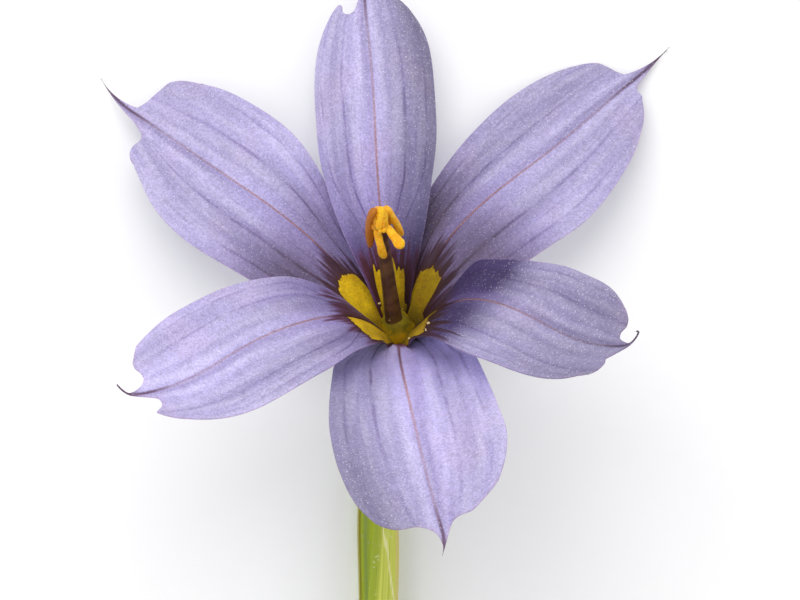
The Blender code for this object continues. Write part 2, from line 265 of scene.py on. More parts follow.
def flat_place(tepal, u, v):
    """Distances along and across the flattened tepal: u goes from -1 to 1, v from the claw to the crown."""
    along = np.empty_like(u)
    across = np.empty_like(u)
    for side, here in enumerate((u < 0, u >= 0)):
        sign = (-1, 1)[side]
        share = np.abs(u[here])
        level = v[here] * tepal.corner
        rib = rib_offset(tepal, level)
        corner_level = np.full_like(share, tepal.corner)
        corner_rib = rib_offset(tepal, corner_level)
        corner_width = sign * side_width(tepal, side, corner_level)
        end_along, end_across = crown_point(tepal, side, share)
        rise = v[here] ** CROWN_ONSET
        along[here] = level + rise * (end_along - tepal.corner)
        plain = rib + share * (sign * side_width(tepal, side, level) - rib)
        across[here] = plain + rise * (end_across - corner_rib - share * (corner_width - corner_rib))
    return along, across


def bend_awn(tepal, along, across):
    """The awn's end turned in the blade's plane, by an angle over a length."""
    angle, length = math.radians(tepal.bend[0]), tepal.bend[1]
    start = tepal.tip - length
    rib = rib_offset(tepal, along)
    off = across - rib
    turned = np.clip((along - start) / length, 0, None) * angle
    radius = length / angle
    bent_along = start + radius * np.sin(turned) - off * np.sin(turned)
    bent_across = rib + radius * (1 - np.cos(turned)) + off * np.cos(turned)
    past = along > start
    return np.where(past, bent_along, along), np.where(past, bent_across, across)


def tepal_frame(tepal, along):
    """Directions along the midrib, across the blade and up from its face, at these distances."""
    share = np.clip(along / tepal.length, 0, 1)
    azimuth = math.radians(tepal.azimuth)
    lean = np.radians(np.interp(share, LEAN_STATIONS, tepal.leans))[:, None]
    sweep = np.radians(tepal.sweep * share**2)[:, None]
    twist = np.radians(tepal.twist * share)[:, None]
    outward = math.cos(azimuth) * ACROSS + math.sin(azimuth) * BACK
    around = math.cos(azimuth) * BACK - math.sin(azimuth) * ACROSS
    forward = np.sin(lean) * outward + np.cos(lean) * AXIS
    up = np.sin(lean) * AXIS - np.cos(lean) * outward
    tangent = np.cos(sweep) * forward + np.sin(sweep) * around
    side = np.cos(sweep) * around - np.sin(sweep) * forward
    return tangent, np.cos(twist) * side + np.sin(twist) * up, np.cos(twist) * up - np.sin(twist) * side


def tepal_surface(tepal, along, across, lift):
    """Points on the blade, in place, raised from its face by lift."""
    start = INNER_START if tepal.inner else OUTER_START
    azimuth = math.radians(tepal.azimuth)
    outward = math.cos(azimuth) * ACROSS + math.sin(azimuth) * BACK
    fine = np.linspace(0, tepal.length, MIDRIB_POINTS)
    tangents = tepal_frame(tepal, fine)[0]
    steps = (tangents[1:] + tangents[:-1]) / 2 * fine[1]
    midrib = np.concatenate([np.zeros((1, 3)), np.cumsum(steps, axis=0)])
    midrib += FLOWER_BASE + start[0] * outward + start[1] * AXIS
    centre = np.stack([np.interp(along, fine, midrib[:, axis]) for axis in range(3)], -1)
    _, side, up = tepal_frame(tepal, along)
    cupped = np.where(across < 0, *tepal.curls) * np.clip(along / (CUP_FULL_AT * tepal.length), 0, 1)
    at_claw = np.where(across < 0, *tepal.claw_curls) * smooth_step(along, *CLAW_CURL_ENDS)
    curl = np.radians(cupped + at_claw)
    curl = np.where(np.abs(curl) < LEAST_CURL, LEAST_CURL, curl)
    turned = curl * np.abs(across)
    out = (np.sin(turned) / curl * np.sign(across))[:, None]
    rise = ((1 - np.cos(turned)) / curl)[:, None]
    normal = np.cos(turned)[:, None] * up - (np.sin(turned) * np.sign(across))[:, None] * side
    return centre + out * side + rise * up + lift[:, None] * normal


def margin_distance(tepal, along, across):
    """How far these places are from the blade's margin and its crown."""
    levels = np.linspace(0, 1, MARGIN_POINTS)
    sides = [flat_place(tepal, np.full(MARGIN_POINTS, u), levels) for u in (-1.0, 1.0)]
    crown = flat_place(tepal, np.linspace(-1, 1, 3 * MARGIN_POINTS), np.ones(3 * MARGIN_POINTS))
    outline = np.concatenate([np.stack(part, -1) for part in (*sides, crown)])
    place = np.stack([along, across], -1)
    nearest = np.full(len(place), np.inf)
    for point in outline:
        nearest = np.minimum(nearest, np.linalg.norm(place - point, axis=-1))
    return nearest


# Meshes


def select_only(*pieces):
    """Selects these pieces and nothing else, and makes the first one active."""
    if bpy.context.mode != "OBJECT":
        bpy.ops.object.mode_set(mode="OBJECT")
    bpy.ops.object.select_all(action="DESELECT")
    for piece in pieces:
        piece.select_set(True)
    if pieces:
        bpy.context.view_layer.objects.active = pieces[0]


def take_active(name):
    made = bpy.context.object
    made.name = name
    made.data.name = name
    return made


def read_points(piece):
    points = np.empty(len(piece.data.vertices) * 3)
    piece.data.vertices.foreach_get("co", points)
    return points.reshape(-1, 3)


def set_points(piece, points):
    """Moves a piece's corners to these places."""
    piece.data.vertices.foreach_set("co", np.ascontiguousarray(points * MM, float).ravel())
    piece.data.update()


def store(mesh, **marks):
    """Keeps a number at each of a mesh's corners under each name, for its material."""
    for name, values in marks.items():
        attribute = mesh.attributes.new(name, "FLOAT", "POINT")
        attribute.data.foreach_set("value", np.ascontiguousarray(values, np.float32))


def add_grid(name, columns, rows):
    """A grid of that many faces each way, and its corners' u from -1 to 1 and v from 0 to 1."""
    select_only()
    bpy.ops.mesh.primitive_grid_add(x_subdivisions=columns, y_subdivisions=rows, size=2)
    grid = take_active(name)
    corners = read_points(grid)
    return grid, np.clip(-corners[:, 0], -1, 1), np.clip((corners[:, 1] + 1) / 2, 0, 1)


def add_globe(name, segments, rings):
    """A ball whose rings become a tube's: each corner's ring from 0 to 1, and its angle round the tube."""
    select_only()
    bpy.ops.mesh.primitive_uv_sphere_add(segments=segments, ring_count=rings, radius=1)
    globe = take_active(name)
    corners = read_points(globe)
    level = 1 - np.arccos(np.clip(corners[:, 2], -1, 1)) / math.pi
    return globe, level, np.arctan2(corners[:, 1], corners[:, 0])


def tube_place(path, level, radius, angle, start_side, shares=(1, 1)):
    """Places round a path, for levels along it from 0 to 1, and distances and angles round it."""
    path = np.array(path, float)
    knots = np.linspace(0, 1, len(path))
    before, after = (smooth(knots, path, np.clip(level + step, 0, 1)) for step in (-0.004, 0.004))
    ahead = unit(after - before)
    start_side = np.array(start_side, float)
    first = unit(start_side - (ahead @ start_side)[:, None] * ahead)
    second = np.cross(ahead, first)
    out_first = radius * np.cos(angle) * shares[0]
    out_second = radius * np.sin(angle) * shares[1]
    return smooth(knots, path, level) + out_first[:, None] * first + out_second[:, None] * second


def cut_ends(level, rings):
    """Levels remapped so that the first and last rings are flat faces across the tube's ends."""
    ring = 1 / rings
    return np.clip((level - ring) / (1 - 2 * ring), 0, 1), (level < ring / 2) | (level > 1 - ring / 2)


def round_end(level, share):
    """Radius share of a tube whose first part is rounded to a pole."""
    return np.sqrt(1 - (1 - np.clip(level / share, 0, 1)) ** 2)


def thicken(piece, thickness, group="", thinnest=0.0):
    """Gives a sheet its thickness, and its back the second material."""
    solidify = piece.modifiers.new("Thickness", "SOLIDIFY")
    solidify.thickness = thickness * MM
    solidify.offset = 0
    solidify.use_even_offset = False
    solidify.material_offset = 1
    solidify.vertex_group = group
    solidify.thickness_vertex_group = thinnest
    select_only(piece)
    bpy.ops.object.modifier_apply(modifier=solidify.name)


def join_pieces(name, pieces):
    select_only(*pieces)
    bpy.ops.object.join()
    return take_active(name)


def paint(piece, *materials):
    for material in materials:
        piece.data.materials.append(material)


def finish_piece(piece, slot, *nodes, angle=60):
    """Hands a finished piece over: it rides on the flower's body and stands for the solids it replaces."""
    if not piece.data.polygons or not np.isfinite(read_points(piece)).all():
        raise RuntimeError(f"{piece.name} has no faces, or corners that are nowhere")
    select_only(piece)
    bpy.ops.object.shade_smooth_by_angle(angle=math.radians(angle))
    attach(piece, "root")
    if nodes:
        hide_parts(*nodes)


# Materials


class Value:
    """A number in a material, which takes ordinary arithmetic."""

    def __init__(self, graph, socket):
        self.graph = graph
        self.socket = socket

    def __add__(self, other):
        return self.graph.work_out("ADD", self, other)

    def __sub__(self, other):
        return self.graph.work_out("SUBTRACT", self, other)

    def __rsub__(self, other):
        return self.graph.work_out("SUBTRACT", other, self)

    def __mul__(self, other):
        return self.graph.work_out("MULTIPLY", self, other)

    def __truediv__(self, other):
        return self.graph.work_out("DIVIDE", self, other)

    __radd__ = __add__
    __rmul__ = __mul__


class Graph:
    """One material, the nodes that make its finish, and its colour so far."""

    def __init__(self, name):
        self.material = bpy.data.materials.new(name)
        self.material.use_nodes = True
        self.tree = self.material.node_tree
        self.tree.nodes.clear()
        self.color = None

    def node(self, kind, settings=None, inputs=None, output=0):
        """Adds a node with its settings, then its sockets' values or links, and gives one of its outputs."""
        node = self.tree.nodes.new(kind)
        for key, value in (settings or {}).items():
            setattr(node, key, value)
        for key, value in (inputs or {}).items():
            if isinstance(value, Value):
                self.tree.links.new(value.socket, node.inputs[key])
            else:
                node.inputs[key].default_value = value
        return Value(self, node.outputs[output]) if node.outputs else None

    def work_out(self, operation, *values):
        return self.node("ShaderNodeMath", {"operation": operation}, dict(enumerate(values)))

    def attributes(self, *names):
        return [self.node("ShaderNodeAttribute", {"attribute_name": name}, output="Fac") for name in names]

    def place(self):
        """The piece's own place in millimetres."""
        here = self.node("ShaderNodeTexCoord", output="Object")
        return self.node("ShaderNodeVectorMath", {"operation": "MULTIPLY"}, {0: here, 1: (1 / MM,) * 3})

    def join(self, x, y, z):
        return self.node("ShaderNodeCombineXYZ", None, {0: x, 1: y, 2: z})

    def noise(self, where, scale, detail=2):
        return self.node("ShaderNodeTexNoise", None, {"Vector": where, "Scale": scale, "Detail": detail})

    def streaks(self, across, along, seed, detail=3):
        """A noise over two distances, each stretched its own way."""
        return self.noise(self.join(across, along, seed), 1.0, detail)

    def cells(self, where, scale):
        """A random number for each small cell."""
        color = self.node("ShaderNodeTexVoronoi", None, {"Vector": where, "Scale": scale}, output="Color")
        return self.node("ShaderNodeSeparateColor", None, {0: color})

    def step(self, value, low, high):
        """Rises smoothly from 0 at low to 1 at high, or falls where high is below low."""
        bounds = {"Value": value, "From Min": low, "From Max": high}
        return self.node("ShaderNodeMapRange", {"interpolation_type": "SMOOTHSTEP"}, bounds)

    def size(self, value):
        return self.work_out("ABSOLUTE", value)

    def least(self, first, second):
        return self.work_out("MINIMUM", first, second)

    def peak(self, value, centre, width):
        """1 at the centre, falling to 0 at this distance from it."""
        return self.step(self.size(value - centre), width, 0)

    def mix(self, factor, first, second, blend="MIX"):
        """Two colours mixed. Each is three numbers or an output."""
        inputs = {0: factor}
        for key, color in ((6, first), (7, second)):
            inputs[key] = color if isinstance(color, Value) else (*color, 1)
        settings = {"data_type": "RGBA", "blend_type": blend, "clamp_factor": True}
        return self.node("ShaderNodeMix", settings, inputs, output=2)

    def shade(self, color, factor):
        """A colour made lighter or darker by a number."""
        return self.mix(1.0, color, self.join(factor, factor, factor), "MULTIPLY")

    def patches(self, tone, first, second, low=0.35, high=0.65):
        """The first colour, with soft patches of the second where the tone is high."""
        return self.mix(self.step(tone, low, high), first, second)

    def lay(self, mask, color):
        """Lays a colour over the one so far, as far as the mask says."""
        self.color = self.mix(mask, self.color, color)

    def finish(self, roughness, specular=0.5, *bumps):
        """The material in its colour so far. Each bump is a height, a strength and a depth."""
        inputs = {"Base Color": self.color, "Roughness": roughness, "Specular IOR Level": specular}
        for height, strength, depth in bumps:
            bump = {"Height": height, "Strength": strength, "Distance": depth * MM}
            if "Normal" in inputs:
                bump["Normal"] = inputs["Normal"]
            inputs["Normal"] = self.node("ShaderNodeBump", None, bump)
        shader = self.node("ShaderNodeBsdfPrincipled", None, inputs)
        self.node("ShaderNodeOutputMaterial", None, {"Surface": shader})
        return self.material


# The tepals' finish. Masks run between two distances along the blade from its foot, or between two shares of
# its half width, called span.
BASE_ENDS = (9.0, 2.5)
SIDE_VIOLET_AND_SHADE_ENDS = (9.5, 4.0)
MIDDLE_VIOLET_AND_SHADE_LENGTH = 3.3
VEIN_FADE_ENDS = (15.5, 4)
INNER_VEINS_SPREAD = (2.6, 6.2)
RIB_WIDTH = 0.08
PLAIN_RIB_WIDTH = 0.11
RIB_SHADOW = (0.16, 0.34)
PLAIN_RIB_SHADOW = (0.3, 0.62)
STAIN_EDGE = 0.45
RING_ENDS = (-0.3, -0.02)
EYE_EDGE = 0.035
GLINT_CELLS_PER_MM = 29
GLINT_ENDS = (0.955, 0.985)
AWN_LINE_LENGTH = 1.6


def petal_grain(graph, look):
    """The blade's fine cells: their lightness, partly painted glints, and their height for the bump."""
    where = graph.place()
    fine = graph.cells(where, look.grain_per_mm)
    coarse = graph.noise(where, 2.2, 3)
    lightness = 1 + look.grain * (fine - 0.5) + 0.24 * (coarse - 0.5)
    return where, fine, lightness


def vein_lines(graph, tepal, span, along, look):
    """The lateral veins as one mask: soft lines that run the way of the blade and fade toward its tip."""
    wander = graph.streaks(span * 3, along * 0.35, 0.0, 2) - 0.5
    drifted = span + wander * 0.05
    if tepal.inner:
        drifted = drifted / (0.4 + 0.6 * graph.step(along, *INNER_VEINS_SPREAD))
    drifted = graph.size(drifted)
    near, far = tepal.veins
    lines = graph.peak(drifted, near, 0.036) + graph.peak(drifted, far, 0.034) * 0.8
    for place, width, weight in ((near / 2, 0.022, 0.3), ((near + far) / 2, 0.025, 0.35)):
        lines = lines + graph.peak(drifted, place, width) * weight
    soft = graph.peak(drifted, near, 0.13) * 0.22
    broken = graph.step(graph.streaks(span * 9, along * 0.6, 3.0), 0.35, 0.62)
    fade = graph.step(along, *VEIN_FADE_ENDS)
    return (lines * (0.25 + 0.75 * broken) + soft) * (0.4 + 0.6 * fade) * look.vein_strength


def eye_depths(graph, tepal, along, across, edge):
    """How far inside the yellow lobe a place is, from its sides and its end. Outside these are below 0."""
    length, centre, half, roundness, slope, _ = tepal.eye
    off = across - centre
    to_side = half * (0.8 + 0.2 * graph.step(along, 0.7, 1.9)) - graph.size(off)
    to_side = to_side + 0.8 * graph.step(along, 0.75, 0.2)
    end = length + across * slope - off * off * roundness
    for place, width, height in tepal.prongs:
        end = end + height * graph.peak(across, place, width)
    teeth = graph.streaks(across * 9, along * 0.8, 5.0, 1) - 0.5
    return graph.least(to_side, edge - 0.11) + 0.1 * teeth, end - along + 0.4 * teeth


def awn_mask(graph, tepal, along, across):
    """The awn's dark end, with a thin line down the last of the midrib."""
    root = tepal.crowns[0][-1][0]
    length = tepal.tip - root
    off = graph.size(across)
    end = graph.step(along, root + 0.15 * length, root + 0.75 * length) * graph.step(off, 0.45, 0.2)
    line = graph.step(along, root - AWN_LINE_LENGTH, root + 0.1) * graph.step(off, 0.11, 0.02) * 0.8
    return graph.work_out("MAXIMUM", end, line)


def make_petal_front(tepal, look):
    graph = Graph(tepal.name + "_face")
    span, along, across, edge = graph.attributes("span", "along", "across", "edge")
    where, fine, lightness = petal_grain(graph, look)
    streaks = graph.streaks(span * 7, along * 0.22, 0.0)
    graph.color = graph.patches(streaks, look.petal, look.petal_light, 0.35, 0.7)
    graph.lay(graph.step(graph.noise(where, 0.5), 0.5, 0.75) * 0.35, look.petal_pink)
    veins = vein_lines(graph, tepal, span, along, look)
    graph.lay(veins, look.vein)

    # The deep foot of the blade, and its dark areas: dark violet with painted shade.
    stained = tepal.stain[0] > 0.2
    near_base = graph.step(along, *BASE_ENDS)
    # The bottom tepal's deep violet is weaker: partly painted light against the shade cast on its foot.
    graph.lay(near_base * (look.base_shade * (1.0 if stained else 0.45)), look.petal_deep)
    clockwise, counter, middle, middle_start = tepal.dusk
    violet_and_shade_sides = graph.step(span, 0.1, -0.75) * clockwise + graph.step(span, -0.1, 0.75) * counter
    dusk = graph.step(along, *SIDE_VIOLET_AND_SHADE_ENDS) * violet_and_shade_sides + near_base * veins * 0.6
    dusk = dusk + graph.step(along, middle_start, middle_start - MIDDLE_VIOLET_AND_SHADE_LENGTH) * middle
    graph.lay(dusk, look.petal_violet_and_shade if tepal.inner else look.outer_violet_and_shade)

    # The midrib in its soft shadow, the margin and the awn.
    off_rib = across + (graph.streaks(along * 0.8, 0.0, 7.0, 2) - 0.5) * 0.04
    rib = graph.peak(off_rib, 0.0, RIB_WIDTH if stained else PLAIN_RIB_WIDTH)
    rib_shadow = graph.peak(off_rib, *(RIB_SHADOW if stained else PLAIN_RIB_SHADOW))
    graph.lay(rib_shadow * 0.38, look.vein)
    rib_dark = graph.step(along, 8.5, 3.0) * (0.2 if stained else 0.9)
    rib_color = graph.mix(rib_dark, look.midrib, look.stain)
    graph.lay(rib * (0.35 + 0.55 * graph.step(along, 13, 5)), rib_color)
    graph.lay(graph.step(edge, 0.07, 0.0) * 0.4, look.margin)
    graph.lay(awn_mask(graph, tepal, along, across), look.awn)

    # The stain round the eye, drawn out along the veins, and the eye itself. Between some tepals the stain
    # is partly painted shade.
    to_side, to_end = eye_depths(graph, tepal, along, across, edge)
    eye = graph.least(to_side, to_end)
    clockwise, counter, beyond, depth = tepal.stain
    tongues = graph.streaks(span * 12, along * 0.3, 11.0) * 4.5 - 1.35
    sideways = (clockwise + graph.step(span, -0.4, 0.4) * (counter - clockwise)) * tongues
    lengthways = beyond * tongues + rib_shadow * 0.9 + veins * 0.5
    reach = graph.least(to_side + sideways, to_end + lengthways)
    stain = graph.step(reach, -STAIN_EDGE, STAIN_EDGE)
    outer, inner = ([each * depth for each in color] for color in (look.stain_light, look.stain))
    graph.lay(stain * 0.95, graph.patches(reach, outer, inner, 0.0, 0.8))
    # A dark line round the eye: partly the flower's own ring, partly painted shadow in the gap under the
    # eye.
    graph.lay(graph.step(eye, *RING_ENDS) * 0.92, look.ring)
    eye_color = graph.patches(graph.noise(where, 2.4, 3), look.eye, look.eye_light, 0.3, 0.7)
    eye_color = graph.mix(graph.step(along, 1.3, 0.3), eye_color, look.throat)
    yellow = graph.step(eye, 0.0, EYE_EDGE)
    # The yellow is darkened by painted shade on the lobes that lie in shade.
    graph.lay(yellow, graph.shade(eye_color, tepal.eye[-1]))

    # Painted light and shade over all of it, with slow random bands, and painted glints on the brightest
    # cells.
    # Painted light and shade: each tepal is lightened or darkened overall, at its sides, its tip and its
    # foot.
    overall, clockwise, counter, painted_tip_light, painted_foot_light = tepal.tones
    tone = 1 + graph.step(span, 0.15, -0.95) * (clockwise - 1)
    tone = tone + graph.step(span, -0.15, 0.95) * (counter - 1)
    tone = tone * overall * (1 + graph.step(along, 8.0, tepal.corner) * (painted_tip_light - 1))
    tone = tone * (1 + graph.step(along, 4.5, 1.5) * (painted_foot_light - 1))
    tone = tone * (0.9 + 0.2 * graph.step(graph.streaks(span * 2.6, along * 0.09, 9.0, 2), 0.35, 0.65))
    graph.color = graph.shade(graph.color, lightness * tone)
    # Painted glints: the brightest cells are laid in a near-white colour.
    painted_glint = graph.step(graph.cells(where, GLINT_CELLS_PER_MM), *GLINT_ENDS)
    graph.lay(painted_glint * (1 - stain) * (1 - 0.75 * near_base) * 0.5, look.painted_glint)
    cells = (fine * 0.5 + graph.noise(where, 14.0) * 0.5, 0.5, 0.03)
    groove = (1 - (rib + veins * 0.7) * (1 - yellow), 0.6, 0.05)
    return graph.finish(0.55 + 0.14 * (fine - 0.5) + 0.25 * yellow, 0.3, cells, groove)


def make_petal_back(tepal, look):
    graph = Graph(tepal.name + "_back")
    span, along, across, edge = graph.attributes("span", "along", "across", "edge")
    _, fine, lightness = petal_grain(graph, look)
    streaks = graph.streaks(span * 7, along * 0.22, 4.0)
    graph.color = graph.patches(streaks, look.back, look.back_light, 0.35, 0.7)
    graph.lay(vein_lines(graph, tepal, span, along, look) * 0.9, look.vein)
    rib = graph.peak(across, 0.0, 0.09)
    graph.lay(rib * 0.7, look.back_rib)
    graph.lay(graph.step(along, 3.6, 0.6) * 0.85, look.back_claw)
    graph.lay(graph.step(edge, 0.09, 0.0) * 0.7, look.margin)
    shown = graph.step(along, 3.8, 2.4) * graph.step(edge, 0.5, 0.25)
    graph.lay(shown * 0.85, look.stain)
    graph.lay(awn_mask(graph, tepal, along, across), look.awn)
    graph.color = graph.shade(graph.color, lightness)
    return graph.finish(0.55, 0.4, (fine, 0.4, 0.03), (rib, 0.7, 0.08))


def color_of(name, what, *default):
    return bpy.props.FloatVectorProperty(
        name=name, description="Colour of " + what, default=default, size=3, subtype="COLOR", min=0, max=1
    )


def share_of(name, description, default):
    return bpy.props.FloatProperty(
        name=name, description=description, default=default, min=0, max=1, subtype="FACTOR"
    )


def length_of(name, description, default):
    return bpy.props.FloatProperty(
        name=name, description=description + ", in millimetres", default=default, min=0, precision=3
    )


def count_of(name, description, default, top):
    return bpy.props.IntProperty(name=name, description=description, default=default, min=8, max=top)


def amount_of(name, description, default):
    return bpy.props.FloatProperty(name=name, description=description, default=default, min=0)


class TepalLook(bpy.types.PropertyGroup):
    """Sizes and colours of the tepals."""

    thickness: length_of("Thickness", "Thickness of a blade at its midrib", 0.15)
    margin_share: share_of("Margin", "Thickness at the margin as a share of the blade's", 0.35)
    columns: count_of("Columns", "Faces across a blade", 84, 120)
    rows: count_of("Rows", "Faces along a blade", 120, 200)
    grain: share_of("Grain", "Contrast of the blade's fine cells", 0.34)
    grain_per_mm: amount_of("Cells", "Cells in a millimetre", 17)
    vein_strength: share_of("Veins", "How clearly the lateral veins show", 0.75)
    base_shade: share_of("Deep base", "How deep the violet toward the eye is", 0.75)
    petal: color_of("Petal", "the blades", 0.405, 0.36, 0.615)
    petal_light: color_of("Light petal", "the blades' light streaks", 0.51, 0.462, 0.70)
    petal_pink: color_of("Pink petal", "the blades' pinkish areas", 0.54, 0.435, 0.66)
    petal_deep: color_of("Deep petal", "the blades toward the eye", 0.22, 0.165, 0.44)
    # Dark violet with painted shade: the blades' darkest areas lie partly in their neighbours' shade.
    petal_violet_and_shade: color_of("Dusk", "the inner blades' darkest areas", 0.065, 0.042, 0.15)
    outer_violet_and_shade: color_of("Outer dusk", "the outer blades' darkest areas", 0.085, 0.055, 0.1)
    vein: color_of("Vein", "the lateral veins", 0.20, 0.15, 0.36)
    midrib: color_of("Midrib", "the midrib", 0.36, 0.16, 0.14)
    margin: color_of("Margin colour", "the thin margin", 0.50, 0.34, 0.56)
    awn: color_of("Awn", "the awn", 0.09, 0.035, 0.09)
    stain: color_of("Stain", "the stain round the eye", 0.085, 0.018, 0.03)
    stain_light: color_of("Light stain", "the stain's outer part", 0.14, 0.05, 0.135)
    # Painted glints on the blades' brightest cells.
    painted_glint: color_of("Sparkle", "the brightest cells", 0.82, 0.8, 0.95)
    ring: color_of("Ring", "the line round the eye", 0.05, 0.012, 0.008)
    eye: color_of("Eye", "the eye", 0.60, 0.355, 0.002)
    eye_light: color_of("Light eye", "the eye's light patches", 0.76, 0.50, 0.004)
    throat: color_of("Throat", "the tepals' feet", 0.32, 0.21, 0.004)
    back: color_of("Back", "the blades' backs", 0.42, 0.40, 0.62)
    back_light: color_of("Light back", "the backs' light streaks", 0.55, 0.53, 0.74)
    back_rib: color_of("Back rib", "the backs' midribs", 0.26, 0.26, 0.28)
    back_claw: color_of("Back claw", "the backs near the ovary", 0.36, 0.42, 0.22)


class FLOWER_OT_tepals(bpy.types.Operator):
    """Builds the six tepals, each a thin blade in the place of its solid"""

    bl_idname = "flower.tepals"
    bl_label = "Tepals"

    def execute(self, context):
        look = context.scene.tepal_look
        for tepal in TEPALS:
            blade, span, level = add_grid(tepal.name + "_blade", look.columns, look.rows)
            along, across = flat_place(tepal, span, level**ROW_SPREAD)
            edge = margin_distance(tepal, along, across)
            off_rib = across - rib_offset(tepal, along)
            ripple = RIPPLE_HEIGHT * np.cos(span * 14) * smooth_step(edge, 0, 0.6)
            wave = WAVE_HEIGHT * np.sin(along * 1.3 + tepal.azimuth) * smooth_step(np.abs(span), 0.4, 1)
            crease = CREASE_DEPTH * hump(off_rib, CREASE_WIDTH) * smooth_step(along, 1.5, 4)
            lift = ripple * smooth_step(along, 2, 6) + wave * smooth_step(along, 3, 8) - crease
            set_points(blade, tepal_surface(tepal, *bend_awn(tepal, along, across), lift))
            store(blade.data, span=span, along=along, across=off_rib, edge=edge)
            group = blade.vertex_groups.new(name="inside")
            for index, weight in enumerate(smooth_step(edge, 0, MARGIN_WIDTH)):
                group.add((index,), float(weight), "REPLACE")
            paint(blade, make_petal_front(tepal, look), make_petal_back(tepal, look))
            thicken(blade, look.thickness, "inside", look.margin_share)
            finish_piece(blade, "tepal_inner" if tepal.inner else "tepal_outer", tepal.name)
        return {"FINISHED"}


# The column, its anthers and the pollen, in heights above the flower's base and distances from its axis.
COLUMN_LEAN = -0.08
COLUMN_SHIFT = -0.08
COLUMN_PROFILE = ((0, 0.42), (0.5, 0.36), (1.2, 0.33), (2.2, 0.31), (4.5, 0.27), (7.4, 0.21))
THROAT_PROFILE = (
    (0, 0, -0.45), (0.15, 0.5, -0.4), (0.3, 0.67, -0.12), (0.45, 0.72, 0.1), (0.6, 0.66, 0.36),
    (0.75, 0.55, 0.62), (0.88, 0.38, 0.84), (1, 0, 0.98),
)
CAP_HEIGHT = 7.75
CAP_HALF_LENGTH = 0.34
CAP_RADIUS = 0.2
CAP_PAINTED_LIGHT = 0.9
HOOK_PAINTED_LIGHT = 0.95
HOOK_SIDE = 250

# Each sac is a path of angles round the column, distances and heights, with a half width and a tone, which
# is
# painted light and shade: at 0 the sac takes the shaded colours, at 1 the lit ones. The last three are the
# thin strips over the column's top. A hook is such a path with its thickness.
Sac = namedtuple("Sac", "path radius tone")
SACS = (
    Sac(((200, 0.1, 8.0), (192, 0.32, 7.85), (188, 0.5, 7.1), (184, 0.6, 5.6)), 0.205, 0.1),
    Sac(((222, 0.36, 7.1), (240, 0.38, 6.75), (256, 0.5, 6.24), (260, 0.45, 5.42)), 0.165, 1.0),
    Sac(((306, 0.26, 7.32), (310, 0.55, 7.02), (312, 0.8, 6.82), (314, 1.1, 6.55)), 0.19, 1.0),
    Sac(((16, 0.1, 8.0), (16, 0.3, 7.84), (16, 0.5, 7.1), (16, 0.72, 6.05)), 0.185, 0.85),
    Sac(((72, 0.06, 7.95), (72, 0.3, 7.6), (72, 0.5, 7.0), (72, 0.66, 6.2)), 0.18, 0.8),
    Sac(((128, 0.06, 7.95), (128, 0.32, 7.6), (128, 0.5, 6.9), (128, 0.6, 6.0)), 0.19, 0.7),
    Sac(((0, 0.05, 8.22), (290, 0.16, 8.0), (262, 0.3, 7.65), (252, 0.44, 7.2)), 0.13, 0.95),
    Sac(((0, 0.12, 8.15), (315, 0.22, 7.92), (298, 0.32, 7.65), (285, 0.4, 7.3)), 0.13, 0.7),
    Sac(((170, 0.12, 8.05), (200, 0.24, 7.8), (225, 0.34, 7.5), (236, 0.42, 7.15)), 0.11, 0.45),
)
SAC_HOOKS = (
    ((222, 0.36, 7.0), (212, 0.4, 7.18), (202, 0.41, 7.38), 0.085),
    ((262, 0.44, 7.32), (258, 0.46, 7.1), (250, 0.44, 6.9), 0.08),
    ((300, 0.3, 7.36), (285, 0.42, 7.3), (272, 0.46, 7.15), 0.1),
)
# Each clump of pollen: its place from the flower's base as seen from above, its half width and its grains.
# The
# clumps at (-0.74, 1.05) and (0.22, 0.82) on the eye, and the two at 5.08 over the anthers, are painted
# glints:
# bright beads put where the flower shows glints.
Clump = namedtuple("Clump", "x y radius grains")
POLLEN_AND_GLINT_CLUMPS = (
    Clump(1.23, 0.3, 0.075, 5),
    Clump(1.15, 0.06, 0.05, 4),
    Clump(0.48, -0.31, 0.05, 4),
    Clump(0.22, 0.82, 0.03, 2),
    Clump(-0.74, 1.05, 0.06, 4),
    Clump(-0.98, 5.08, 0.03, 3),
    Clump(-0.46, 5.08, 0.03, 3),
    Clump(-0.3, 0.4, 0.03, 2),
)


def axis_point(angle, radius, height):
    """Places round the column, from angles in degrees, distances from its axis and heights."""
    turn = np.radians(angle)
    return (
        FLOWER_BASE
        + np.multiply.outer(height, AXIS + COLUMN_LEAN * ACROSS)
        + np.multiply.outer(radius * np.cos(turn), ACROSS)
        + np.multiply.outer(radius * np.sin(turn), BACK)
    )


